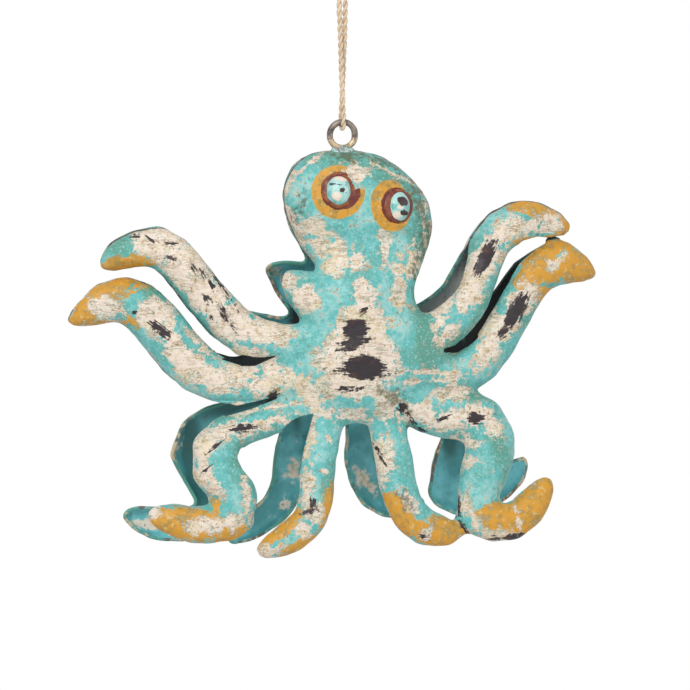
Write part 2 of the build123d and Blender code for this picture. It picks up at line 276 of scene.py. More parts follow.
def shell_paint():
    """Teal over cream, with mustard tips, sanded through to the steel in patches, with grime, green stains
    and painted shade in places.
    """
    mix = Recipe("shell_paint")
    cream, steel, mustard, red, chipped = map(mix.layer, ("cream", "steel", "mustard", "red", "chipped"))
    grime_and_shade, green_and_shade, edge, seam = map(mix.layer, ("grime_and_shade", "green_and_shade", "edge", "seam"))
    broad = mix.grain(12 * MM)
    flakes = mix.grain(4.2 * MM, shift=2.0)
    chips = mix.grain(1.7 * MM, 3.0, 0.6, shift=3.0)
    specks = mix.grain(0.7 * MM, 2.0, 0.6, shift=7.0)
    blots = mix.grain(1.5 * MM, 3.0, 0.6, shift=5.0)
    scratches = mix.grain(2.6 * MM, 4.0, 0.65, stretch=(3, 3, 0.7), shift=11.0) - 0.5
    sockets = {"X": mix.layer("along") / STROKE_LENGTH, "Y": mix.layer("across") / STROKE_WIDTH}
    strokes = mix.noise(mix.make("ShaderNodeCombineXYZ", sockets=sockets), 5.0, 0.65)
    flaking, blotting = flakes - 0.5, blots - 0.5
    fine = (chips - 0.5) * 0.7 + (specks - 0.5) * 0.4
    bare = (cream + (broad - 0.5) * 0.4 + flaking * 0.9 + fine + edge * 0.12).over(0.37, 0.51)
    whole = 1 - (chipped + flaking * 0.7 + fine).over(0.45, 0.55)
    # the steel layer also holds one painted shadow line in a gap between the feet
    sanded = (steel + (strokes - 0.5) * 1.1 + blotting * 0.7).over(0.46, 0.54)
    tipped = (mustard + flaking * 0.7 + fine * 0.9).over(0.46, 0.54) * whole
    brushed = (mix.layer("eyes") + flaking * 0.3 + fine * 0.35).over(0.4, 0.58) * whole
    ringed = (red + flaking * 0.3 + fine * 0.4).over(0.46, 0.54) * whole
    # grime, with painted shadow in some patches, as at the end of the right thigh
    dirt_and_shade = (grime_and_shade + flaking * 0.7 + blotting * 1.3 + edge * 0.12).over(0.42, 0.75)
    # greener teal: partly stains and partly painted shade, as at the right of the chest
    greened_and_shaded = (green_and_shade + flaking * 0.8 + blotting * 0.5).over(0.3, 0.8)
    seamed = (seam + flaking * 0.9 + fine * 0.5).over(0.45, 0.6)
    cracks = 1 - (scratches * scratches).over(0.00005, 0.0007)
    teal = mix.coats(
        TEAL,
        (PALE_TEAL, (broad * 0.4 + flakes * 0.4 + chips * 0.25).over(0.48, 0.66) * 0.85),
        (GREEN_TEAL, (1 - broad * 0.6 - chips * 0.5).over(0.44, 0.6) * 0.6),
        (GREEN_TEAL, greened_and_shaded),
        (PALE_TEAL, specks.over(0.53, 0.66) * 0.6),
        (OLIVE_GRIME_AND_SHADE, (blots * 0.6 + specks * 0.5).over(0.61, 0.72) * 0.65),
    )
    ground = mix.coats(
        CREAM,
        (STAINED_CREAM, (blots * 0.6 + chips * 0.5).over(0.53, 0.72) * 0.85),
        (YELLOWED_CREAM, (broad * 0.7 + blots * 0.4).over(0.54, 0.74) * 0.6),
        (GREEN_TEAL, (specks * 0.5 + flakes * 0.6).over(0.58, 0.7) * 0.5),
        (CRACK_BROWN, cracks * flakes.over(0.4, 0.6) * 0.6),
        (CRACK_BROWN, (specks * 0.7 + chips * 0.4).over(0.62, 0.72) * 0.7),
    )
    yellow = mix.coats(
        MUSTARD,
        (DULL_MUSTARD, (flakes * 0.6 + chips * 0.6).over(0.54, 0.74)),
        (YELLOWED_CREAM, blots.over(0.58, 0.68) * 0.7),
    )
    brown = mix.coats(EYE_RED, (RUBBED_RED, flakes.over(0.5, 0.68) * 0.7))
    metal = mix.coats(BARE_STEEL, (RUSTY_STEEL, flakes.over(0.55, 0.7) * 0.7))
    coat = mix.coats(
        teal, (yellow, tipped), (ground, bare), (yellow, brushed), (brown, ringed), (OLIVE_GRIME_AND_SHADE, dirt_and_shade * 0.75),
        (SEAM_BROWN, seamed), (metal, sanded),
    )
    relief = (1 - bare) * 0.6 - sanded * 0.3 + chips * 0.4 - cracks * bare * 0.3
    return mix.finish(
        Base_Color=coat,
        Roughness=0.58 - sanded * 0.12,
        Metallic=sanded * 0.5,
        Normal=mix.bump(relief, 0.3 * MM, 0.7),
    )


def inner_paint():
    """The hollow side of the shells: smooth teal in the legs with painted shade down their deep channels,
    bare steel behind the raised arms, and black painted shadow in the slits and gaps.
    """
    mix = Recipe("inner_paint")
    cream, steel, gap_shadow, deep = map(mix.layer, ("inside", "unpainted", "gap_shadow", "deep"))
    broad = mix.grain(15 * MM)
    flakes = mix.grain(4.5 * MM, shift=2.0)
    chips = mix.grain(1.7 * MM, 4.0, 0.6, shift=5.0)
    ragged = (flakes - 0.5) * 0.9 + (chips - 0.5) * 0.7
    rubbed = mix.coats(STAINED_CREAM, (CREAM, (chips + (flakes - 0.5) * 0.6).over(0.4, 0.6)))
    metal = mix.coats(DULL_STEEL, (RUSTY_STEEL, flakes.over(0.55, 0.75)))
    coat = mix.coats(
        INNER_SHADE,
        (INNER_TEAL, (broad * 0.6 + flakes * 0.4).over(0.36, 0.62)),
        # painted shade down the leg channels, from the deep layer
        (INNER_PAINTED_SHADE, (deep + (broad - 0.5) * 0.5).over(0.3, 0.7)),
        (rubbed, (cream + ragged * 1.3).over(0.42, 0.66)),
        (OLIVE_GRIME_AND_SHADE, chips.over(0.62, 0.7) * 0.6),
        (metal, (steel + ragged * 0.7).over(0.4, 0.6)),
        # black painted shadow in the slits and gaps
        (GAP_SHADOW_BLACK, (gap_shadow + ragged * 0.5).over(0.35, 0.65)),
    )
    return mix.finish(Base_Color=coat, Roughness=0.55, Normal=mix.bump(chips, 0.2 * MM, 0.4))


def rim_paint():
    """The cut edge of the sheet: teal, rubbed to brown and cream in places, and black with painted shadow
    where it lies in the gaps between the shells.
    """
    mix = Recipe("rim_paint")
    broad = mix.grain(14 * MM, shift=2.0)
    chips = mix.grain(2.4 * MM, 4.0, 0.6, shift=5.0)
    coat = mix.coats(
        GREEN_TEAL,
        (TEAL, broad.over(0.4, 0.6)),
        (STAINED_CREAM, (broad * 0.5 + chips * 0.6).over(0.56, 0.66)),
        (RUSTY_STEEL, (broad * 0.6 - chips * 0.6).over(0.0, 0.1) * 0.8),
        (STAINED_CREAM, (mix.layer("inside") + (chips - 0.5) * 0.7).over(0.42, 0.6)),
        # black painted shadow where the rim lies in a gap between the shells
        (GAP_SHADOW_BLACK, (mix.layer("gap_shadow") + (chips - 0.5) * 0.5).over(0.4, 0.6) * 0.9),
    )
    return mix.finish(Base_Color=coat, Roughness=0.58, Normal=mix.bump(chips, 0.3 * MM, 0.6))


def weld_paint(name, paint, share):
    """A rough weld with some of the paint left on it."""
    mix = Recipe(name)
    lumps = mix.grain(1.8 * MM, shift=4.0)
    chips = mix.grain(1.2 * MM, 4.0, 0.65, shift=9.0)
    coat = mix.coats(
        DULL_STEEL,
        (RUSTY_STEEL, lumps.over(0.45, 0.65)),
        (paint, (chips * 0.6 + lumps * 0.4).over(0.55 - share, 0.62 - share)),
    )
    relief = mix.bump(lumps + chips * 0.4, 0.6 * MM, 0.8)
    return mix.finish(Base_Color=coat, Roughness=0.6, Metallic=0.3, Normal=relief)


def ring_finish():
    """Bent wire, dull with age, with specks of paint on its lower half."""
    mix = Recipe("ring_finish")
    lower = mix.layer("lower")
    broad = mix.grain(3 * MM)
    chips = mix.grain(1.1 * MM, 4.0, 0.65, shift=6.0)
    stained = lower * 0.5 + (chips - 0.5) * 1.2 - (broad - 0.5) * 1.2
    coat = mix.coats(
        RING_STEEL,
        (BARE_STEEL, broad.over(0.42, 0.72) * 0.85),
        (RUSTY_STEEL, chips.over(0.56, 0.72) * 0.7),
        (STAINED_CREAM, (lower + (chips - 0.5) * 1.6).over(0.5, 0.62)),
        (OLIVE_GRIME_AND_SHADE, stained.over(0.42, 0.6) * 0.7),
    )
    relief = mix.bump(broad + chips * 0.4, 0.4 * MM, 0.6)
    return mix.finish(Base_Color=coat, Roughness=0.48, Metallic=0.45, Normal=relief)


def eye_finish(name):
    """A pale ball with a dark pupil and painted highlights, in a dark red ring on mustard, brushed on by
    hand.
    """
    mix = Recipe(name)
    ball, ring, pupil, light = map(mix.layer, ("ball", "red", "pupil", "light"))
    broad = mix.grain(3 * MM)
    chips = mix.grain(0.9 * MM, 4.0, 0.65, shift=6.0)
    wobble = (broad - 0.5) * 0.5 + (chips - 0.5) * 0.5
    brown = mix.coats(
        EYE_RED,
        (RUBBED_RED, (broad * 0.7 + chips * 0.4).over(0.5, 0.66) * 0.8),
        (PUPIL, chips.over(0.58, 0.7) * 0.7),
    )
    iris = mix.coats(
        PALE_TEAL,
        (TEAL, (broad + chips * 0.3).over(0.55, 0.85)),
        (GREEN_TEAL, chips.over(0.58, 0.68)),
        # painted highlights on the ball: a lighter top and glints, from the light layer
        (CREAM, (light + wobble).over(0.42, 0.58)),
        (PUPIL, (pupil + wobble).over(0.44, 0.56)),
    )
    coat = mix.coats(
        MUSTARD,
        (DULL_MUSTARD, chips.over(0.55, 0.75)),
        (brown, (ring + wobble).over(0.45, 0.55)),
        (iris, (ball + wobble * 0.3).over(0.45, 0.55)),
    )
    return mix.finish(Base_Color=coat, Roughness=0.4, Normal=mix.bump(broad + chips * 0.4, 0.3 * MM, 0.6))


def jute_fibre():
    """Loose-spun jute: pale fibres along each ply, with painted shade in the grooves between them."""
    mix = Recipe("jute_fibre")
    fibre = mix.make("ShaderNodeAttribute", {"attribute_name": "fibre"}, output="Vector")
    lines = mix.noise(fibre, 3.0, 0.6)
    patches = mix.grain(4 * MM, 2.0)
    groove_shade = mix.layer("groove_shade")
    coat = mix.coats(JUTE_SHADE, (JUTE, (lines * 0.8 + patches * 0.3 - groove_shade * 0.2).over(0.25, 0.6)))
    return mix.finish(Base_Color=coat, Roughness=0.85, Normal=mix.bump(lines, 0.2 * MM, 0.7))


# Paint patches, as ovals on the photograph: pixels across and down to the middle, half length,
# half width, and the clockwise lean of the length in degrees

CREAM_WEAR = [
    # head
    (313, 228, 12, 7, 20), (322, 246, 9, 6, 30), (339, 256, 14, 8, 80), (334, 269, 8, 6, 0),
    (357, 259, 12, 7, 90), (385, 244, 14, 3.5, 88), (398, 281, 16, 5, 95), (412, 263, 12, 4, 95),
    (359, 176, 9, 6, 0), (352, 170, 8, 3, 10), (347, 181, 4, 3, 60),
    # shoulder lobe and chest
    (304, 297, 14, 12, 60), (289, 281, 7, 6, 0), (364, 296, 22, 11, 90), (362, 332, 30, 25, 90),
    (360, 360, 40, 28, 0), (354, 384, 32, 13, 0), (314, 401, 12, 7, 90), (323, 413, 6, 5, 0),
    (290, 378, 14, 7, 0), (303, 388, 10, 7, 40), (355, 416, 16, 4, 0), (388, 404, 12, 9, 60),
    # upper and lower left arms
    (160, 243, 26, 18, 10), (188, 268, 26, 20, 50), (208, 296, 26, 19, 55), (233, 321, 24, 16, 40),
    (265, 331, 24, 13, 6), (222, 330, 20, 5, 48), (107, 308, 20, 8, 25), (157, 316, 19, 16, 40),
    (170, 338, 20, 9, 50), (185, 360, 24, 13, 42), (214, 378, 28, 11, 14), (242, 373, 18, 7, 0),
    (262, 387, 14, 8, 0), (200, 345, 12, 4, 48), (247, 350, 14, 4, 15), (271, 368, 10, 8, 60),
    # upper and lower right arms
    (470, 292, 22, 10, -65), (484, 258, 26, 13, -62), (504, 233, 22, 9, -40), (531, 227, 17, 7, 5),
    (553, 222, 9, 6, 20), (447, 306, 10, 5, -40), (440, 322, 8, 5, -30), (520, 302, 22, 11, -58),
    (505, 326, 20, 10, -58), (489, 348, 20, 9, -58), (486, 325, 12, 5, -55), (556, 264, 7, 4, -40),
    (452, 392, 14, 7, 0), (448, 331, 12, 6, -40), (436, 312, 8, 4, 60),
    # left leg
    (231, 430, 30, 7, -8), (263, 424, 24, 5, -12), (202, 450, 15, 10, -60), (205, 474, 14, 8, 60),
    (214, 486, 10, 6, 60), (208, 526, 16, 7, -5), (232, 522, 8, 7, 0), (154, 513, 6, 6, 0),
    (248, 495, 16, 2.5, 80),
    # front legs
    (309, 438, 17, 4, 95), (307, 486, 18, 4.5, 95), (313, 511, 10, 8, 60), (305, 529, 8, 7, 0),
    (270, 551, 10, 4, -20), (383, 459, 20, 9, 80), (389, 402, 10, 8, 0), (411, 502, 12, 5, 60),
    (425, 536, 5, 4, 0),
    # right leg
    (419, 412, 20, 11, 10), (449, 419, 20, 9, -8), (478, 417, 16, 11, 0), (466, 441, 12, 6, 15),
    (492, 424, 10, 8, 60), (469, 461, 5, 4, 0), (463, 505, 10, 5, 60), (500, 536, 18, 4, 0),
]
CREAM_STREAKS = [
    # head
    (294, 223, 26, 3, 66), (308, 165, 22, 2, -42), (287, 189, 16, 1.6, -72), (428, 214, 22, 1.8, 78),
    (431, 246, 14, 2, 97), (423, 226, 24, 1.4, 84), (402, 168, 20, 2, 32), (396, 175, 16, 1.6, 25),
    (409, 266, 22, 2, 100), (402, 286, 20, 3, 92), (421, 272, 12, 2.4, 105), (384, 245, 15, 2.6, 92),
    # limbs
    (250, 470, 12, 1.8, 55), (247, 505, 10, 1.6, 95), (226, 316, 22, 2, 50), (214, 326, 16, 1.8, 52),
    (232, 405, 18, 1.6, -12), (262, 409, 22, 1.8, -10), (385, 420, 12, 2, 70), (398, 415, 10, 1.6, 80),
    (430, 372, 32, 2, 2), (424, 381, 26, 1.8, -3), (455, 377, 12, 2, -18), (330, 440, 4, 2, 60),
    (325, 470, 3.5, 2, 20), (474, 524, 7, 2, 60), (518, 520, 12, 1.6, 75),
]
CHIPPED = [
    (359, 178, 11, 10, 30), (352, 170, 9, 5, 20), (406, 186, 5, 5, 0), (138, 288, 7, 2.5, -8),
    (142, 298, 6, 3, -40), (128, 304, 6, 2.5, 30), (554, 266, 8, 5, -45), (560, 256, 7, 4, -30),
    (230, 521, 9, 5, -20), (305, 524, 8, 5, 20), (291, 541, 10, 4, -30), (420, 513, 12, 7, 55),
    (548, 226, 9, 7, 20), (522, 228, 14, 5, -20), (474, 526, 12, 6, 40),
]
MUSTARD_EYES = [(338, 192, 27, 27, 0), (391, 206, 26, 20, 80)]
RED_EYES = [(340.5, 191, 19, 20, 90), (397, 205.4, 18.5, 15.8, 85)]
MUSTARD_TIPS = [
    # upper and lower left arms
    (128, 263, 33, 8, -8), (80, 312, 19, 17, -40), (118, 288, 38, 12, -14), (108, 324, 24, 5, -5),
    (132, 321, 10, 4, 40),
    # upper and lower right arms
    (538, 208, 38, 11, 14), (566, 228, 12, 12, 0), (536, 240, 26, 5, -6), (549, 262, 30, 21, -30),
    (580, 270, 26, 17, 25), (526, 280, 18, 10, -55), (543, 293, 10, 8, 0),
    # left leg
    (185, 524, 46, 17, 5), (231, 534, 18, 12, -20), (216, 505, 11, 5, 85),
    # front legs
    (280, 529, 34, 10, -40), (328, 515, 30, 7, 98), (300, 547, 26, 9, -25), (399, 515, 28, 14, 52),
    (440, 534, 34, 17, 14),
    # right leg
    (500, 517, 30, 15, -8), (537, 502, 34, 19, -45), (549, 484, 12, 9, 0), (522, 530, 22, 9, -15),
]
SANDED_STEEL_AND_GAP_SHADOW = [
    # chest
    (356, 329, 13, 10, -4), (354, 342, 15, 5, -10), (347, 350, 9, 2.5, -10), (364, 368, 21, 12, 3),
    (337, 370, 7, 1.8, 0), (346, 389, 7, 2, 0), (359, 389, 4, 2, -20), (382, 374, 8, 2, -8),
    (364, 310, 5, 1.8, -30),
    # upper and lower left arms
    (170, 258, 5, 2.6, 20), (137, 236, 5, 1.8, 0), (152, 240, 5, 1.8, 40), (171, 244, 4, 1.5, 10),
    (204, 274, 6, 2, 60), (212, 285, 6, 2, 62), (193, 268, 4, 1.8, 60), (220, 283, 18, 1.8, 57),
    (207, 299, 6, 2.6, 55), (224, 310, 7, 3, 60), (226, 319, 8, 2.2, 55), (233, 327, 5, 1.5, 50),
    (211, 318, 4, 1.8, 50), (161, 330, 13, 5, 38), (135, 312, 1.2, 1.0, 0), (273, 395, 5, 2.5, -30),
    # upper and lower right arms
    (485, 258, 20, 7, -62), (516, 311, 20, 8, -60), (505, 331, 7, 3, -45),
    # legs
    (243, 428, 11, 4, -4), (214, 448, 7, 1.6, -40), (206, 470, 4, 1.6, -40), (313, 504, 5, 2.5, 90),
    (310, 512, 7, 2.2, -20), (379, 450, 5, 1.6, 45), (383, 460, 6, 1.6, 60), (425, 537, 4, 2, 0),
    (476, 418, 9, 6, 0), (442, 419, 9, 1.8, -20), (403, 408, 5, 4, 60), (518, 537, 11, 3, -8),
    # The narrow stroke at 462, 525 is painted shadow in the gap between two feet, in the colour of bare
    # steel
    (493, 539, 5, 2.2, 0), (462, 525, 9, 1.8, 55), (459, 505, 10, 1.6, 85), (412, 420, 8, 1.5, 55),
    (419, 428, 6, 1.4, 30),
]
# Olive grime, and in some patches painted shadow, as where the end of the right thigh tucks in
GRIME_AND_SHADE_PATCHES = [
    (345, 155, 22, 7, 0), (388, 163, 24, 7, 32), (420, 205, 40, 8, 78), (424, 240, 22, 6, 92),
    (415, 265, 22, 5, 100), (407, 501, 12, 7, 60), (413, 427, 9, 5, 45), (300, 208, 22, 3, -70),
    (395, 395, 14, 6, 20), (274, 391, 9, 5, -30), (405, 407, 7, 5, 60),
]
# Greener teal: partly stains and partly painted shade, as at the right of the chest
GREEN_AND_SHADE_PATCHES = [
    (425, 320, 40, 14, 80), (455, 345, 30, 12, -45), (480, 310, 60, 6, -60), (535, 300, 50, 8, -55),
    (470, 395, 30, 8, 10), (500, 450, 40, 10, 80), (120, 246, 22, 10, -20), (395, 185, 40, 14, 40),
    (420, 240, 44, 12, 88), (150, 292, 22, 10, 20), (330, 490, 30, 8, 95), (240, 460, 30, 10, 80),
    (225, 414, 44, 7, -12), (345, 160, 46, 10, 5), (430, 345, 30, 18, 80),
]
# and on the hollow sides
INSIDE_WEAR = [
    (294, 467, 14, 8, 85), (283, 508, 10, 5, -40), (364, 480, 16, 8, 50), (150, 527, 30, 4, 12),
    (172, 452, 16, 3, 95), (270, 270, 8, 6, 45),
]
# Painted shade in the deep channels of the hollow sides
INSIDE_PAINTED_SHADE = [
    (196, 466, 60, 16, 80), (236, 403, 44, 9, -14), (296, 420, 14, 6, 85), (448, 440, 22, 10, 85),
]
UNPAINTED = [(452, 280, 64, 16, -52)]
# Black painted shadow in the slits between limbs and the gaps between the shells, on the hollow sides and
# the rims
SHADOWED_GAPS = [
    (490, 312, 70, 15, -60), (452, 350, 18, 12, -10), (250, 356, 40, 12, 5), (560, 246, 34, 9, 0),
    (300, 322, 18, 12, 60), (274, 396, 14, 6, -20), (477, 231, 30, 8, -62),
]
# The dark seam ends this far under the crown
SEAM_END = -28.5 * MM
SEAM_WIDTH = 1.1 * MM
# Wear in all of the teal
FLECKS = 0.25
# Steel marks with a half length up to this are on the front shell only
SMALL_MARK = 8
# Softness of the patches' edges, in pixels
PATCH_SOFTNESS = 14.0
MUSTARD_SOFTNESS = 10.0
STROKE_SOFTNESS = 6.0
RING_SOFTNESS = 4.0
LIGHT_SOFTNESS = 5.0
PUPIL_SOFTNESS = 3.0
# How many times farther apart the grain of two steel marks lies than they do
GRAIN_SPREAD = 3
EDGE_WIDTH = 2.2 * MM


def in_patches(points, patches, softness):
    """How deep points lie in patches, 0.5 at an edge, and their places along and across the nearest one."""
    across, down = photo_place(points)
    depth = np.full(len(points), -np.inf)
    along_best, across_best = np.zeros(len(points)), np.zeros(len(points))
    for middle_across, middle_down, half_length, half_width, lean in patches:
        turn = math.radians(lean)
        along = (across - middle_across) * math.cos(turn) + (down - middle_down) * math.sin(turn)
        aside = (down - middle_down) * math.cos(turn) - (across - middle_across) * math.sin(turn)
        reach = np.hypot(along / half_length, aside / half_width)
        inward = (1 - reach) * min(half_length, half_width)
        nearest = inward > depth
        depth = np.where(nearest, inward, depth)
        along_best = np.where(nearest, along + middle_across * GRAIN_SPREAD, along_best)
        across_best = np.where(nearest, aside + middle_down * GRAIN_SPREAD, across_best)
    return np.clip(0.5 + depth / (2 * softness), 0, 1), along_best, across_best


def set_layer(mesh, name, numbers):
    """Writes a number on each point of a mesh."""
    layer = mesh.attributes.new(name, "FLOAT", "POINT")
    layer.data.foreach_set("value", np.asarray(numbers, np.float32))


def paint_shell(mesh, outside, inside, behind_rim, side):
    """Writes where each coat shows, on the outer face and on the hollow one."""
    pixel = CAMERA_DISTANCE * SENSOR_WIDTH / FOCAL_LENGTH / PHOTO_SIZE
    eyes, rings, marks = MUSTARD_EYES, RED_EYES, SANDED_STEEL_AND_GAP_SHADOW
    if side > 0:
        eyes, rings, marks = [], [], [mark for mark in SANDED_STEEL_AND_GAP_SHADOW if mark[2] > SMALL_MARK]
    steel, along, across = in_patches(outside, marks, STROKE_SOFTNESS)
    worn = in_patches(outside, CREAM_WEAR, PATCH_SOFTNESS)[0]
    streaked = in_patches(outside, CREAM_STREAKS, STROKE_SOFTNESS)[0]
    set_layer(mesh, "cream", np.maximum(FLECKS, np.maximum(worn, streaked)))
    set_layer(mesh, "steel", steel)
    set_layer(mesh, "along", along * pixel)
    set_layer(mesh, "across", across * pixel)
    for name, points, patches, softness in (
        ("mustard", outside, MUSTARD_TIPS, MUSTARD_SOFTNESS),
        ("eyes", outside, eyes, RING_SOFTNESS),
        ("red", outside, rings, RING_SOFTNESS),
        ("chipped", outside, CHIPPED, MUSTARD_SOFTNESS),
        ("grime_and_shade", outside, GRIME_AND_SHADE_PATCHES, PATCH_SOFTNESS),
        ("green_and_shade", outside, GREEN_AND_SHADE_PATCHES, PATCH_SOFTNESS),
        ("inside", inside, INSIDE_WEAR, PATCH_SOFTNESS),
        ("unpainted", inside, UNPAINTED, PATCH_SOFTNESS),
        ("deep", inside, INSIDE_PAINTED_SHADE, PATCH_SOFTNESS),
        ("gap_shadow", inside, SHADOWED_GAPS, PATCH_SOFTNESS),
    ):
        set_layer(mesh, name, in_patches(points, patches, softness)[0])
    on_head = outside[:, 2] > CROWN + SEAM_END
    set_layer(mesh, "seam", np.clip(1 - behind_rim / (2 * SEAM_WIDTH), 0, 1) * on_head)
    set_layer(mesh, "edge", np.clip(1 - behind_rim / EDGE_WIDTH, 0, 1))


# The hammered shells

SHEET = 1.1 * MM
# Half the distance between the rims of the two shells, by height under the crown of the head
FLARE_HEIGHTS = np.array([-130.0, -110.5, -83.5, -39.5, -28.5, 0.0]) * MM
FLARE = np.array([21.5, 19.5, 12.5, 10.0, 0.5, 0.5]) * MM
# and by distance from the middle on the raised arms, which lie above the leg line
REACH_PLACES = np.array([0.0, 22.0, 70.0, 100.0]) * MM
REACH = np.array([12.5, 12.5, 0.5, 0.5]) * MM
LEG_LINE = -78.0 * MM
LEG_LINE_BLEND = 1.5 * MM
RIM_ROUNDING = np.linspace(-3.0, 3.0, 7) * MM

VOXEL = 1.15 * MM
# The form is closed this far behind the rim, and holes up to this wide in it are filled
BACKING = 6.0 * MM
RIVET_HOLE = 4.0 * MM
# Faces that look back more than this belong to the hollow side
FACING_OUT = -0.02
PLANING_ROUNDS = 180
EVENING_ROUNDS = 14
PLANING_IN = 0.6
PLANING_OUT = 0.618
FILLET_ROUNDS = 70
NORMALS_EVERY = 10
FILLET_PULL = 0.6
FILLET_RISE = 3.0 * MM
CONVEX_SHARE = 0.12
DENT_SIZE = 7.0 * MM
DENT_DEPTH = 0.35 * MM
FINE_DENTS = 2.3
FINE_DENT_SHARE = 0.5
PAINT_BUILD = 0.5 * MM
# Cuts of the snips between limbs, on the photograph: pixels across and down, and the half width there
SLITS = [
    [(222, 359, 0.5), (232, 359.5, 3.0), (243, 360.5, 5.6), (254, 361.5, 4.4), (264, 359.5, 2.2),
     (275, 356.4, 0.7)],
    [(226, 412, 4.0), (250, 406, 3.2), (276, 398, 1.4)],
    [(474, 336, 4.2), (466, 343, 4.0), (457, 348, 3.2), (446, 350.5, 2.4)],
    [(514, 254, 4.5), (526, 246, 6.0), (538, 240.5, 4.0), (548, 239, 1.4), (568, 236, 1.4)],
]
# and where only the front one was cut wider
FRONT_SLITS = [
    [(313.3, 414, 0.4), (304, 420.5, 5.0), (294, 424.5, 4.6), (284, 430.5, 2.0)],
    [(313, 414.5, 0.5), (307.5, 424, 3.0), (303.7, 438, 3.0), (300.7, 452, 2.5), (299.5, 466, 1.6),
     (299, 474, 0.8)],
    [(244, 452, 4.6), (242.8, 457.5, 5.4), (247, 466, 5.6), (256, 478, 4.8), (258.5, 489, 2.0)],
]
# and the back one, as seen past the front one
BACK_SLITS = [
    [(488, 296, 1.2), (492, 287, 3.6), (501, 272, 4.8), (511, 259, 4.8), (527, 248, 5.0), (545, 240, 3.0)],
]
# Places where the back one was bent by hand: pixels across and down, the reach in pixels, and the move
# across and up
BENDS = [
    (270, 266, 12, -2.0 * MM, 0.5 * MM), (517, 476, 13, 1.0 * MM, -0.6 * MM),
    (284, 495, 26, 1.1 * MM, -0.3 * MM),
]


def rim_depth(points):
    """How far the rim of either shell lies from the middle plane, in front of or behind points."""
    x, height = points[:, 0], points[:, 2] - CROWN
    raised = np.clip((height - LEG_LINE) / LEG_LINE_BLEND, 0, 1)
    total = np.zeros_like(x)
    for shift in RIM_ROUNDING:
        flare = np.interp(height + shift, FLARE_HEIGHTS, FLARE)
        reach = np.interp(np.abs(x) + shift, REACH_PLACES, REACH)
        total += raised * np.minimum(flare, reach) + (1 - raised) * flare
    return total / len(RIM_ROUNDING)


def loops_of(edges):
    """Edges sorted into chains that touch."""
    left, chains = set(edges), []
    while left:
        chain, ahead = [], [left.pop()]
        while ahead:
            edge = ahead.pop()
            chain.append(edge)
            for vert in edge.verts:
                for other in vert.link_edges:
                    if other in left:
                        left.remove(other)
                        ahead.append(other)
        chains.append(chain)
    return chains


def outer_form(node, side):
    """The outer face of a shell, turned to face -Y with its rim laid flat, and closed behind the rim."""
    form = bmesh.new()
    form.from_mesh(nodes[node].data)
    bmesh.ops.remove_doubles(form, verts=form.verts, dist=1e-7)
    if side > 0:
        for vert in form.verts:
            vert.co.y = -vert.co.y
        bmesh.ops.reverse_faces(form, faces=form.faces)
    form.normal_update()
    hidden = [face for face in form.faces if face.normal.y > FACING_OUT]
    bmesh.ops.delete(form, geom=hidden, context="FACES")
    for vert in form.verts:
        vert.co.y += rim_depth(np.array([vert.co]))[0]
    edges = [edge for edge in form.edges if edge.is_boundary]
    rim = []
    for loop in loops_of(edges):
        ends = [vert.co.x for edge in loop for vert in edge.verts]
        if max(ends) - min(ends) < RIVET_HOLE:
            bmesh.ops.holes_fill(form, edges=loop, sides=0)
        else:
            rim += loop
    made = bmesh.ops.extrude_edge_only(form, edges=rim)["geom"]
    behind = {part for part in made if isinstance(part, bmesh.types.BMVert)}
    for vert in behind:
        vert.co.y = BACKING
    outline = [part for part in made if isinstance(part, bmesh.types.BMEdge) and part.is_boundary]
    bmesh.ops.triangle_fill(form, use_beauty=True, edges=outline, normal=(0, 1, 0))
    mesh = bpy.data.meshes.new(node + "_form")
    form.to_mesh(mesh)
    form.free()
    return mesh


def with_modifier(mesh, kind, **settings):
    """A mesh as one modifier leaves it."""
    holder = put("holder", mesh)
    modifier = holder.modifiers.new(kind.lower(), kind)
    for name, setting in settings.items():
        setattr(modifier, name, setting)
    graph = bpy.context.evaluated_depsgraph_get()
    changed = bpy.data.meshes.new_from_object(holder.evaluated_get(graph))
    bpy.data.objects.remove(holder)
    return changed


def points_of(mesh):
    """The points of a mesh, a row each."""
    points = np.empty(len(mesh.vertices) * 3)
    mesh.vertices.foreach_get("co", points)
    return points.reshape(-1, 3)


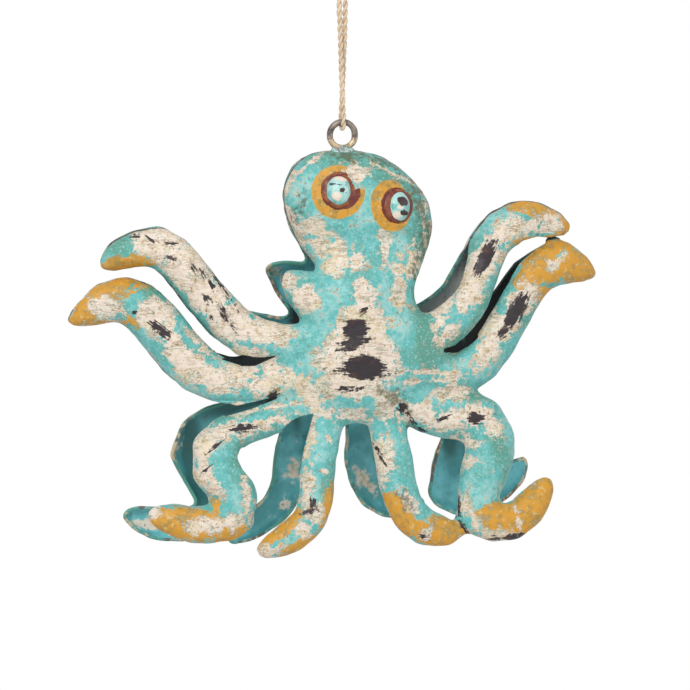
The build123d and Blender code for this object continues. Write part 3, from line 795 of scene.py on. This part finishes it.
class Skin:
    """The points of a mesh of four-sided faces, which the hammer moves."""

    def __init__(self, mesh):
        self.mesh = mesh
        self.points = points_of(mesh)
        edges = np.empty(len(mesh.edges) * 2, np.int32)
        mesh.edges.foreach_get("vertices", edges)
        ends = edges.reshape(-1, 2)
        self.starts = np.concatenate([ends[:, 0], ends[:, 1]])
        self.ends = np.concatenate([ends[:, 1], ends[:, 0]])
        self.counts = np.bincount(self.starts, minlength=len(self.points))[:, None]
        self.quads = np.array([face.vertices[:] for face in mesh.polygons])

    def pull(self, values):
        """How far the value at each point lies from the mean of its neighbours."""
        count = len(values)
        sums = np.stack([np.bincount(self.starts, values[self.ends, k], count) for k in range(3)], axis=1)
        return sums / self.counts - values

    def normals(self):
        """Outward directions at the points."""
        corners = self.points[self.quads]
        facing = np.cross(corners[:, 2] - corners[:, 0], corners[:, 3] - corners[:, 1])
        normals = np.zeros_like(self.points)
        for corner in range(4):
            np.add.at(normals, self.quads[:, corner], facing)
        return normals / np.maximum(np.linalg.norm(normals, axis=1, keepdims=True), 1e-12)

    def plane_facets(self):
        """Takes off the facets, and keeps the girth and the bends."""
        before = self.points.copy()
        for _ in range(PLANING_ROUNDS):
            self.points += self.pull(self.points) * PLANING_IN
            self.points -= self.pull(self.points) * PLANING_OUT
        lost = before - self.points
        for _ in range(EVENING_ROUNDS):
            lost += self.pull(lost) * PLANING_IN
        self.points += lost

    def fill_creases(self):
        """Rounds the creases where limbs meet, as the sheet was hammered over one form."""
        for turn in range(FILLET_ROUNDS):
            if turn % NORMALS_EVERY == 0:
                normals = self.normals()
            move = self.pull(self.points)
            hollow = np.einsum("ij,ij->i", move, normals) > 0
            filling = FILLET_PULL * np.clip(-self.points[:, 1] / FILLET_RISE, 0, 1)
            self.points += move * np.where(hollow, filling, FILLET_PULL * CONVEX_SHARE)[:, None]

    def settle(self):
        """Writes the points back to the mesh."""
        self.mesh.vertices.foreach_set("co", self.points.ravel())
        self.mesh.update()


def dents(points):
    """The depth of the hammer marks at some points."""
    depth = np.empty(len(points))
    for i, point in enumerate(points):
        place = Vector(point) / DENT_SIZE
        depth[i] = noise.noise(place) + FINE_DENT_SHARE * noise.noise(place * FINE_DENTS)
    return depth * DENT_DEPTH


def bend(points):
    """Bends the back shell in places. Its points lie turned to the front."""
    seen = points.copy()
    seen[:, 1] = rim_depth(points) - points[:, 1]
    across, down = photo_place(seen)
    for middle_across, middle_down, reach, aside, up in BENDS:
        share = np.exp(-((across - middle_across) ** 2 + (down - middle_down) ** 2) / reach**2)
        points[:, 0] += aside * share
        points[:, 2] += up * share


def in_slits(points, slits):
    """How deep points lie in the cuts, in pixels of the photograph: below 0 outside them."""
    across, down = photo_place(points)
    depth = np.full(len(points), -np.inf)
    for slit in slits:
        for (x, y, half), (next_x, next_y, next_half) in zip(slit, slit[1:]):
            run_x, run_y = next_x - x, next_y - y
            share = np.clip(((across - x) * run_x + (down - y) * run_y) / (run_x**2 + run_y**2), 0, 1)
            away = np.hypot(across - x - share * run_x, down - y - share * run_y)
            depth = np.maximum(depth, half + share * (next_half - half) - away)
    return depth


def trim(form, depths):
    """Cuts a form where the depths of its points pass 0, and takes away what lies deeper."""
    kept = form.verts.layers.float.get("kept") or form.verts.layers.float.new("kept")
    for vert, depth in zip(form.verts, depths):
        vert[kept] = vert.co.y
        vert.co.y = depth
    everything = [*form.verts, *form.edges, *form.faces]
    bmesh.ops.bisect_plane(form, geom=everything, plane_co=(0, 0, 0), plane_no=(0, 1, 0), clear_outer=True)
    for vert in form.verts:
        vert.co.y = vert[kept]


def hammered_shell(node, side):
    """A shell as the hammer left it: the rounded outer form, cut off at the rim, as thick as the sheet."""
    skin = Skin(with_modifier(outer_form(node, side), "REMESH", mode="VOXEL", voxel_size=VOXEL))
    skin.plane_facets()
    skin.settle()
    skin = Skin(with_modifier(skin.mesh, "SUBSURF", levels=1))
    skin.points += skin.normals() * PAINT_BUILD
    skin.fill_creases()
    if side > 0:
        bend(skin.points)
    skin.points -= skin.normals() * dents(skin.points + np.array([0, side, 0]))[:, None]
    skin.settle()
    mesh = skin.mesh
    form = bmesh.new()
    form.from_mesh(mesh)
    trim(form, skin.points[:, 1])
    points = np.array([vert.co for vert in form.verts])
    points[:, 1] -= rim_depth(points)
    trim(form, in_slits(points, SLITS + (FRONT_SLITS if side < 0 else [])) * MM)
    if side > 0:
        points = np.array([vert.co for vert in form.verts])
        points[:, 1] = rim_depth(points) - points[:, 1]
        trim(form, in_slits(points, BACK_SLITS) * MM)
    form.to_mesh(mesh)
    form.free()
    points = points_of(mesh)
    behind_rim = -points[:, 1].copy()
    points[:, 1] -= rim_depth(points)
    mesh.vertices.foreach_set("co", points.ravel())
    paint_shell(mesh, points, points * np.array([1, -side, 1]), behind_rim, side)
    for material in (shell_paint(), inner_paint(), rim_paint()):
        mesh.materials.append(material)
    shell = with_modifier(mesh, "SOLIDIFY", thickness=SHEET, offset=-1, use_even_offset=True,
                          material_offset=1, material_offset_rim=2)
    if side > 0:
        shell.transform(Matrix.Diagonal((1, -1, 1, 1)))
        shell.flip_normals()
    shell.shade_smooth()
    stand_for(put(node + "_hammered", shell), "octopus", node)


# Turned and bent pieces


def add_piece(name, points, faces, material, layers=()):
    """A new mesh with its material and painted layers."""
    mesh = bpy.data.meshes.new(name)
    mesh.from_pydata([tuple(point) for point in points], [], faces)
    mesh.materials.append(material)
    for layer, numbers in layers:
        set_layer(mesh, layer, numbers)
    mesh.shade_smooth()
    return put(name, mesh)


def stand_for(piece, body, node):
    """Puts a piece on its body in place of a plain solid."""
    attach(piece, body)
    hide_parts(node)


def lathed(profile, turns):
    """Points and faces of a profile of radii and heights turned about its axis, closed at both ends."""
    angles = np.linspace(0, 2 * math.pi, turns, endpoint=False)
    points, faces = [], []
    for radius, height in profile:
        points += [(radius * math.cos(a), radius * math.sin(a), height) for a in angles]
    for row in range(len(profile) - 1):
        for k in range(turns):
            near, far = row * turns, (row + 1) * turns
            faces.append((near + k, far + k, far + (k + 1) % turns, near + (k + 1) % turns))
    faces.append(tuple(range(turns)))
    faces.append(tuple(reversed(range((len(profile) - 1) * turns, len(profile) * turns))))
    return np.array(points), faces


def lumpy(points, size, depth):
    """Points moved a little, smoothly, as on a piece made by hand."""
    return points + np.array([noise.noise_vector(Vector(point) / size) for point in points]) * depth


EYE_HEIGHT = 2.6 * MM
EYE_PROFILE = np.array([
    (0.02, 2.6), (0.6, 2.58), (1.2, 2.5), (1.8, 2.34), (2.4, 2.08), (2.9, 1.76), (3.3, 1.36), (3.6, 0.95),
    (3.85, 0.72), (4.3, 0.6), (4.8, 0.42), (5.2, 0.2), (5.45, -0.1), (5.5, -0.5), (5.4, -1.3),
    (1.2, -1.4), (1.2, -2.0), (2.1, -2.0), (2.2, -2.4), (2.0, -2.9), (0.02, -3.0),
]) * MM
BALL_RADIUS = 3.75 * MM
BALL_STRETCH = 0.2
BALL_EDGE = 1.0 * MM
EYE_RADIUS = 5.5 * MM
EYE_TURNS = 56
EYE_ROWS = 3
# The size and the height of the lumps left by hand
EYE_LUMPS = (2.2 * MM, 0.2 * MM)
RING_LUMPS = (3.0 * MM, 0.12 * MM)
BEAD_LUMPS = (1.6 * MM, 0.35 * MM)


def fine_profile(profile, share):
    """A profile with more points on each of its stretches."""
    places = np.arange(0, len(profile) - 1 + 0.5 / share, 1 / share)
    return np.stack([np.interp(places, np.arange(len(profile)), profile[:, k]) for k in (0, 1)], axis=1)


def add_eye(name, node, facing, red_ring, pupils, lights):
    """A domed stud on the head: a pale ball with its pupil, in a dark red ring."""
    solid = np.array([vert.co for vert in nodes[node].data.vertices])
    outward = Vector(facing).normalized()
    apex = solid[np.argmax(solid @ np.array(outward))]
    turn = outward.to_track_quat("Z", "Y").to_matrix()
    points, faces = lathed(fine_profile(EYE_PROFILE, EYE_ROWS), EYE_TURNS)
    from_axis = np.hypot(points[:, 0], points[:, 1])
    points[:, 1] *= 1 + BALL_STRETCH * np.clip((EYE_RADIUS - from_axis) / (EYE_RADIUS - BALL_RADIUS), 0, 1)
    placed = np.array([turn @ Vector(point) for point in points]) + apex - np.array(outward) * EYE_HEIGHT
    layers = [
        ("ball", np.clip(0.5 + (BALL_RADIUS - from_axis) / BALL_EDGE, 0, 1)),
        ("red", in_patches(placed, [red_ring], RING_SOFTNESS)[0]),
        ("pupil", in_patches(placed, pupils, PUPIL_SOFTNESS)[0]),
        # the light layer is painted highlight: a lighter top and glints
        ("light", in_patches(placed, lights, LIGHT_SOFTNESS)[0]),
    ]
    eye = add_piece(name, lumpy(placed, *EYE_LUMPS), faces, eye_finish(name + "_finish"), layers)
    stand_for(eye, "octopus", node)


def tube(path, radius, sides, closed=False):
    """Points and faces of a round tube along a path, and two directions square to the path at each step."""
    ahead = np.roll(path, -1, axis=0) - np.roll(path, 1, axis=0)
    if not closed:
        ahead[0], ahead[-1] = path[1] - path[0], path[-1] - path[-2]
    ahead /= np.linalg.norm(ahead, axis=1, keepdims=True)
    aside = np.cross(ahead[0], (0.0, 1.0, 0.0) if abs(ahead[0][1]) < 0.9 else (1.0, 0.0, 0.0))
    asides = []
    for direction in ahead:
        aside = aside - direction * (aside @ direction)
        aside = aside / np.linalg.norm(aside)
        asides.append(aside)
    asides = np.array(asides)
    others = np.cross(ahead, asides)
    angles = np.linspace(0, 2 * math.pi, sides, endpoint=False)
    cosines, sines = np.cos(angles)[None, :, None], np.sin(angles)[None, :, None]
    spokes = asides[:, None] * cosines + others[:, None] * sines
    points = path[:, None] + spokes * np.reshape(radius, (-1, 1, 1))
    count = len(path)
    faces = []
    for row in range(count if closed else count - 1):
        near, far = row * sides, (row + 1) % count * sides
        for k in range(sides):
            faces.append((near + k, near + (k + 1) % sides, far + (k + 1) % sides, far + k))
    if not closed:
        faces.append(tuple(reversed(range(sides))))
        faces.append(tuple(range((count - 1) * sides, count * sides)))
    return points.reshape(-1, 3), faces, asides, others


RING_WIRE = 2.0 * MM
RING_STEPS = 72
RING_SIDES = 20


def add_ring():
    """The bent wire ring on the crown."""
    low, high = (np.array(corner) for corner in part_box("hanging_ring"))
    middle, radius = (low + high) / 2, (high[2] - low[2] - RING_WIRE) / 2
    angles = np.linspace(0, 2 * math.pi, RING_STEPS, endpoint=False)
    path = middle + radius * np.stack([np.sin(angles), np.zeros(RING_STEPS), np.cos(angles)], axis=1)
    points, faces = tube(path, RING_WIRE / 2, RING_SIDES, closed=True)[:2]
    lower = np.clip((middle[2] - points[:, 2]) / radius * 0.6 + 0.4, 0, 1)
    ring = add_piece("ring_bent", lumpy(points, *RING_LUMPS), faces, ring_finish(), [("lower", lower)])
    stand_for(ring, "octopus", "hanging_ring")


BEAD_WIDTH = 5.2 * MM
BEAD_LENGTH = 7.0 * MM
BEAD_PROFILE = np.array([
    (0.05, 2.05), (0.7, 2.0), (1.5, 1.8), (2.3, 1.3), (2.9, 0.4), (3.1, -0.6), (2.5, -1.6),
]) * MM
BEAD_ROWS = 3
BEAD_TURNS = 40
BEAD_PAINT_SHARE = 0.06
SEAM_PAINT_SHARE = 0.1
TIP_PAINT_SHARE = 0.08


def add_ring_bead():
    """The bead that welds the ring to the crown."""
    low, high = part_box("ring_weld")
    points, faces = lathed(fine_profile(BEAD_PROFILE, BEAD_ROWS), BEAD_TURNS)
    points[:, 0] *= BEAD_LENGTH / BEAD_WIDTH
    points += np.array([(low.x + high.x) / 2, (low.y + high.y) / 2, low.z])
    paint = weld_paint("bead_paint", PALE_TEAL, BEAD_PAINT_SHARE)
    bead = add_piece("ring_bead", lumpy(points, *BEAD_LUMPS), faces, paint)
    stand_for(bead, "octopus", "ring_weld")


# Jute twine and its knot

TWINE_DIAMETER = 1.5 * MM
TWINE_ROUTE = np.array([
    (-1.05, 0, 0), (-1.05, 0, -5), (-0.244, -1.459, -34.8), (0, -2.15, -43.95),
    (0, 2.15, -43.95), (0.244, 1.459, -34.8), (1.05, 0, -5), (1.05, 0, 0),
]) * MM
PLY_RADIUS = 0.5 * MM
PLY_OFFSET = 0.38 * MM
PLY_PITCH = 5.0 * MM
PLY_SIDES = 10
PLY_SWELL = 0.1
SWELL_LENGTH = 3.7 * MM
TWINE_STEP = 0.22 * MM
# Grain of the fibres: its fineness round a ply, its length, and the length that turns it by one radian
FIBRE_FINENESS = 2.6
FIBRE_LENGTH = 5 * MM
FIBRE_TWIST = 2.2 * MM
PLY_GRAIN_SHIFT = 9
HAIR_RADIUS = 0.03 * MM
HAIR_START = PLY_RADIUS + 0.1 * MM
HAIR_STEPS = 6
TWINE_HAIRS = 70
KNOT_HAIRS = 16
HAIR_SEED = 5
KNOT_RADIUS = 2.1 * MM
KNOT_TURNS = 1.5
KNOT_STEPS = 19
KNOT_FOOT = 0.9 * MM
KNOT_HEIGHT = 4.2 * MM
KNOT_TAIL = np.array([
    (-1.2, 0.5, 5.7), (0.0, 0.3, 6.3), (1.5, 0, 7.6), (2.9, 0, 10.2), (4.4, 0.2, 13.6),
]) * MM


def smooth_route(name, corners):
    """Points along a smooth curve that follows a route's corners."""
    curve = bpy.data.curves.new(name, "CURVE")
    curve.dimensions = "3D"
    spline = curve.splines.new("NURBS")
    spline.points.add(len(corners) - 1)
    for point, corner in zip(spline.points, corners):
        point.co = (*corner, 1)
    spline.order_u = 3
    spline.use_endpoint_u = True
    spline.resolution_u = 24
    holder = bpy.data.objects.new(name, curve)
    route = points_of(bpy.data.meshes.new_from_object(holder))
    bpy.data.objects.remove(holder)
    return route


def even_steps(path, step):
    """A path's points set a step apart."""
    at = np.concatenate([[0], np.cumsum(np.linalg.norm(np.diff(path, axis=0), axis=1))])
    places = np.linspace(0, at[-1], round(at[-1] / step) + 1)
    return np.stack([np.interp(places, at, path[:, k]) for k in range(3)], axis=1), places


def spun(route, hairs, chance):
    """Tubes, fibre places and painted groove shade of two plies spun round each other on a route, with
    loose fibres.
    """
    path, places = even_steps(route, TWINE_STEP)
    asides, others = tube(path, TWINE_DIAMETER / 2, 3)[2:]
    strands = []
    for ply in range(2):
        angle = math.pi * ply + 2 * math.pi * places / PLY_PITCH
        swell = 1 + PLY_SWELL * np.sin(places / SWELL_LENGTH + ply)
        spoke = asides * np.cos(angle)[:, None] + others * np.sin(angle)[:, None]
        points, faces = tube(path + spoke * PLY_OFFSET, PLY_RADIUS * swell, PLY_SIDES)[:2]
        along = np.repeat(places, PLY_SIDES)
        turn = np.tile(np.arange(PLY_SIDES) * 2 * math.pi / PLY_SIDES, len(path)) + along / FIBRE_TWIST
        fibre = np.stack([
            FIBRE_FINENESS * np.cos(turn), FIBRE_FINENESS * np.sin(turn),
            along / FIBRE_LENGTH + PLY_GRAIN_SHIFT * ply,
        ], axis=1)
        outward = np.linalg.norm(points - np.repeat(path, PLY_SIDES, axis=0), axis=1)
        # Painted shade on the side of each ply that faces the other one
        groove_shade = np.clip(1 - outward / (PLY_RADIUS + PLY_OFFSET), 0, 1)
        strands.append((points, faces, fibre, groove_shade))
    for _ in range(hairs):
        near = chance.integers(4, len(path) - 4)
        turn = chance.uniform(0, 2 * math.pi)
        out = asides[near] * math.cos(turn) + others[near] * math.sin(turn)
        ahead = (path[near + 3] - path[near - 3]) * chance.choice([-1, 1])
        ahead /= np.linalg.norm(ahead)
        steps = np.linspace(0, 1, HAIR_STEPS)[:, None] * chance.uniform(1.0, 2.4) * MM
        rise = out * HAIR_START + out * steps * chance.uniform(0.2, 0.7)
        run = ahead * steps * chance.uniform(0.5, 1.2)
        points, faces = tube(path[near] + rise + run, HAIR_RADIUS, 3)[:2]
        strands.append((points, faces, np.zeros((len(points), 3)), np.zeros(len(points))))
    return strands


def add_jute(name, strands, material):
    """A piece of spun twine made of its plies and loose fibres."""
    faces, start = [], 0
    for points, quads, fibre, groove_shade in strands:
        faces += [tuple(start + k for k in face) for face in quads]
        start += len(points)
    points, fibres, grooves = (np.concatenate([strand[k] for strand in strands]) for k in (0, 2, 3))
    piece = add_piece(name, points, faces, material, [("groove_shade", grooves)])
    layer = piece.data.attributes.new("fibre", "FLOAT_VECTOR", "POINT")
    layer.data.foreach_set("vector", fibres.astype(np.float32).ravel())
    return piece


def knot_route(hand):
    """One strand of the knot: round the other one and a half times, then out as a tail to its side."""
    turns = np.linspace(0, KNOT_TURNS, KNOT_STEPS)
    angle = 2 * math.pi * turns + (math.pi if hand < 0 else 0)
    radius = KNOT_RADIUS * np.clip(0.5 + 3 * turns, 0, 1)
    rise = KNOT_FOOT + KNOT_HEIGHT * turns / KNOT_TURNS
    wrap = np.stack([radius * np.cos(angle), radius * np.sin(angle), rise], axis=1)
    tail = KNOT_TAIL * np.array([hand, hand, 1])
    foot = np.array([(hand * 1.05, 0, 0)]) * MM
    return np.concatenate([foot, wrap, tail])


def add_twine():
    """The doubled twine through the ring, and the knot that holds it above the view."""
    chance = np.random.default_rng(HAIR_SEED)
    jute = jute_fibre()
    route = smooth_route("twine_route", TWINE_ROUTE)
    twine = add_jute("twine_spun", spun(route, TWINE_HAIRS, chance), jute)
    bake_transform(twine)
    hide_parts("twine")
    strands = []
    for hand in (-1, 1):
        strands += spun(smooth_route("knot_route", knot_route(hand)), KNOT_HAIRS, chance)
    knot = add_jute("knot_tied", strands, jute)
    stand_for(knot, "knot", "twine_knot")


# Studio

FLOOR_Z = -420 * MM
FLOOR_RADIUS = 600 * MM
FLOOR_SIDES = 96
FLOOR_CLOUDS = 300 * MM
FLOOR_GREY = (0.86, 0.86, 0.86, 1)
FLOOR_PALE = (0.9, 0.9, 0.9, 1)
WORLD_LIGHT = 0.5
# Lamps: the place, the size, and the power
KEY_LAMP = (Vector((-0.5, -0.9, 0.6)), 0.7, 10)
FILL_LAMP = (Vector((0.9, -0.7, 0.1)), 0.8, 2)
# Eyes: where they look, the red ring, then patches of the pupil and of painted highlight on the ball
LEFT_EYE = (
    (-0.16, -0.95, 0.24), RED_EYES[0],
    [(342, 190, 3, 2.4, 0), (336, 184, 8, 1.0, 5)],
    [(341, 178, 8, 3.5, 0), (337, 196, 5, 4, 30), (346, 190, 1.5, 1.5, 0)],
)
RIGHT_EYE = (
    (0.36, -0.92, 0.10), RED_EYES[1],
    [(402, 201, 5.5, 4, 40), (404, 213, 4, 2.5, 0)],
    [(397, 215, 5, 4, 0), (400, 207, 2.5, 2, 0)],
)


def add_floor():
    """A plain pale floor, well under the hanging octopus."""
    angles = np.linspace(0, 2 * math.pi, FLOOR_SIDES, endpoint=False)
    points = [(FLOOR_RADIUS * math.cos(a), FLOOR_RADIUS * math.sin(a), FLOOR_Z) for a in angles]
    mix = Recipe("floor_paint")
    coat = mix.coats(FLOOR_GREY, (FLOOR_PALE, mix.grain(FLOOR_CLOUDS, 2.0)))
    floor_paint = mix.finish(Base_Color=coat, Roughness=0.9)
    add_piece("floor", points, [tuple(range(FLOOR_SIDES))], floor_paint)


bpy.context.scene.view_settings.view_transform = "Standard"
add_camera()
add_twine()
hammered_shell("front_shell", -1)
hammered_shell("back_shell", 1)
add_eye("left_eye_stud", "left_eye", *LEFT_EYE)
add_eye("right_eye_stud", "right_eye", *RIGHT_EYE)
add_ring()
add_ring_bead()
for node, material in (
    ("head_seam_weld", weld_paint("seam_weld_paint", SEAM_BROWN, SEAM_PAINT_SHARE)),
    ("arm_tip_welds", weld_paint("tip_weld_paint", TEAL, TIP_PAINT_SHARE)),
):
    for slot in nodes[node].material_slots:
        slot.material = material
add_floor()
add_world(WORLD_LIGHT)
add_lamp("key", *KEY_LAMP)
add_lamp("fill", *FILL_LAMP)
